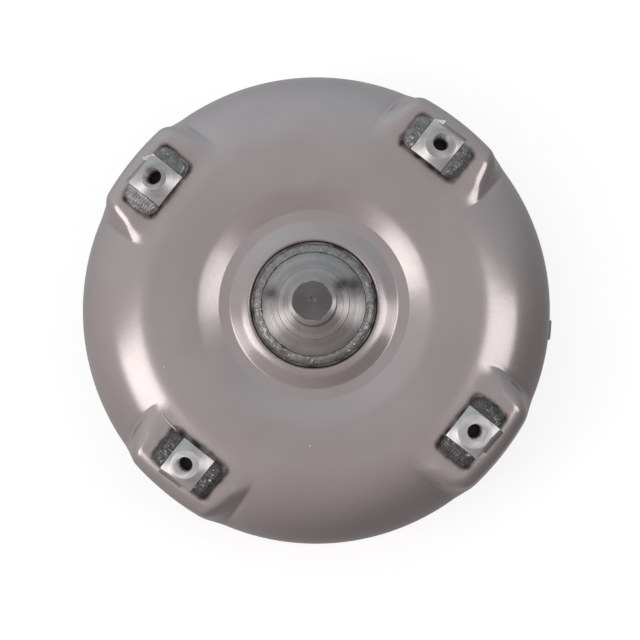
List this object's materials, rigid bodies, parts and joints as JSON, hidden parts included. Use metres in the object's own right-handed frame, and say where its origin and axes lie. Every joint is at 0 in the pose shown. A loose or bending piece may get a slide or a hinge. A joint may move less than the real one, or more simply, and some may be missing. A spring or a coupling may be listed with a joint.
{
  "type": "torque converter",
  "caption": "Welded fluid torque converter: dished steel cover with centring pilot and threaded drive lugs, slotted impeller hub, turbine, and stator on a one-way roller clutch.",
  "frame": {"origin": "on the rotation axis, at the end face of the impeller hub, which the part stands on", "axes": "+Z along the rotation axis, from the impeller hub to the pilot nose on the engine side; the drive lugs lie at 45 degrees between +X and +Y and every 90 degrees from there, and the hub's drive slots open along X"},
  "size_m": [0.2791, 0.279, 0.157],
  "materials": {
    "pressed_steel": "semi-gloss pressed and lightly polished steel",
    "machined_steel": "bright turned or milled steel",
    "weld_metal": "as-welded, dark and rippled",
    "plain_steel": "plain rolled steel",
    "cast_aluminium": "die-cast aluminium",
    "bronze": "plain bronze"
  },
  "bodies": {
    "housing": {"front_cover": "pressed_steel", "pilot_hub": "machined_steel", "pilot_weld": "weld_metal", "drive_lug_1": "machined_steel", "drive_lug_2": "machined_steel", "drive_lug_3": "machined_steel", "drive_lug_4": "machined_steel", "lug_weld_1a": "weld_metal", "lug_weld_1b": "weld_metal", "lug_weld_2a": "weld_metal", "lug_weld_2b": "weld_metal", "lug_weld_3a": "weld_metal", "lug_weld_3b": "weld_metal", "lug_weld_4a": "weld_metal", "lug_weld_4b": "weld_metal", "balance_weight": "plain_steel", "impeller_shell": "pressed_steel", "seam_weld": "weld_metal", "impeller_hub": "machined_steel", "hub_weld": "weld_metal", "impeller_vanes": "plain_steel"},
    "turbine": {"turbine_shell": "pressed_steel", "turbine_vanes": "plain_steel", "turbine_hub": "machined_steel", "turbine_rivet_1": "plain_steel", "turbine_rivet_2": "plain_steel", "turbine_rivet_3": "plain_steel", "turbine_rivet_4": "plain_steel", "turbine_rivet_5": "plain_steel", "turbine_rivet_6": "plain_steel"},
    "stator": {"stator_wheel": "cast_aluminium", "clutch_cam_ring": "plain_steel", "clutch_plate_front": "bronze", "clutch_plate_rear": "bronze", "stator_snap_ring": "plain_steel", "stator_thrust_washer": "bronze", "clutch_spring_1": "plain_steel", "clutch_spring_2": "plain_steel", "clutch_spring_3": "plain_steel", "clutch_spring_4": "plain_steel", "clutch_spring_5": "plain_steel", "clutch_spring_6": "plain_steel", "clutch_spring_7": "plain_steel", "clutch_spring_8": "plain_steel"},
    "inner_race": {"clutch_inner_race": "machined_steel"},
    "front_bearing": {"front_bearing": "plain_steel"},
    "rear_bearing": {"rear_bearing": "plain_steel"},
    "roller_1": {"clutch_roller_1": "machined_steel"},
    "roller_2": {"clutch_roller_2": "machined_steel"},
    "roller_3": {"clutch_roller_3": "machined_steel"},
    "roller_4": {"clutch_roller_4": "machined_steel"},
    "roller_5": {"clutch_roller_5": "machined_steel"},
    "roller_6": {"clutch_roller_6": "machined_steel"},
    "roller_7": {"clutch_roller_7": "machined_steel"},
    "roller_8": {"clutch_roller_8": "machined_steel"}
  },
  "joints": [
    {"name": "turbine_spin", "type": "hinge", "parent": "housing", "child": "turbine", "pos_m": [0, 0, 0.105], "axis": [0, 0, 1], "continuous": true},
    {"name": "stator_spin", "type": "hinge", "parent": "housing", "child": "stator", "pos_m": [0, 0, 0.084], "axis": [0, 0, 1], "continuous": true},
    {"name": "inner_race_spin", "type": "hinge", "parent": "stator", "child": "inner_race", "pos_m": [0, 0, 0.084], "axis": [0, 0, 1], "continuous": true},
    {"name": "front_bearing_spin", "type": "hinge", "parent": "housing", "child": "front_bearing", "pos_m": [0, 0, 0.1142], "axis": [0, 0, 1], "continuous": true},
    {"name": "rear_bearing_spin", "type": "hinge", "parent": "housing", "child": "rear_bearing", "pos_m": [0, 0, 0.0666], "axis": [0, 0, 1], "continuous": true},
    {"name": "roller_1_spin", "type": "hinge", "parent": "stator", "child": "roller_1", "pos_m": [0.03115, 0, 0.084], "axis": [0, 0, 1], "continuous": true},
    {"name": "roller_2_spin", "type": "hinge", "parent": "stator", "child": "roller_2", "pos_m": [0.02203, 0.02203, 0.084], "axis": [0, 0, 1], "continuous": true},
    {"name": "roller_3_spin", "type": "hinge", "parent": "stator", "child": "roller_3", "pos_m": [0, 0.03115, 0.084], "axis": [0, 0, 1], "continuous": true},
    {"name": "roller_4_spin", "type": "hinge", "parent": "stator", "child": "roller_4", "pos_m": [-0.02203, 0.02203, 0.084], "axis": [0, 0, 1], "continuous": true},
    {"name": "roller_5_spin", "type": "hinge", "parent": "stator", "child": "roller_5", "pos_m": [-0.03115, 0, 0.084], "axis": [0, 0, 1], "continuous": true},
    {"name": "roller_6_spin", "type": "hinge", "parent": "stator", "child": "roller_6", "pos_m": [-0.02203, -0.02203, 0.084], "axis": [0, 0, 1], "continuous": true},
    {"name": "roller_7_spin", "type": "hinge", "parent": "stator", "child": "roller_7", "pos_m": [0, -0.03115, 0.084], "axis": [0, 0, 1], "continuous": true},
    {"name": "roller_8_spin", "type": "hinge", "parent": "stator", "child": "roller_8", "pos_m": [0.02203, -0.02203, 0.084], "axis": [0, 0, 1], "continuous": true}
  ],
  "couplings": [
    {"joint": "front_bearing_spin", "follows": "turbine_spin", "ratio": 0.5},
    {"joint": "rear_bearing_spin", "follows": "stator_spin", "ratio": 0.5},
    {"joint": "roller_1_spin", "follows": "inner_race_spin", "ratio": -7.013},
    {"joint": "roller_2_spin", "follows": "inner_race_spin", "ratio": -7.013},
    {"joint": "roller_3_spin", "follows": "inner_race_spin", "ratio": -7.013},
    {"joint": "roller_4_spin", "follows": "inner_race_spin", "ratio": -7.013},
    {"joint": "roller_5_spin", "follows": "inner_race_spin", "ratio": -7.013},
    {"joint": "roller_6_spin", "follows": "inner_race_spin", "ratio": -7.013},
    {"joint": "roller_7_spin", "follows": "inner_race_spin", "ratio": -7.013},
    {"joint": "roller_8_spin", "follows": "inner_race_spin", "ratio": -7.013}
  ]
}
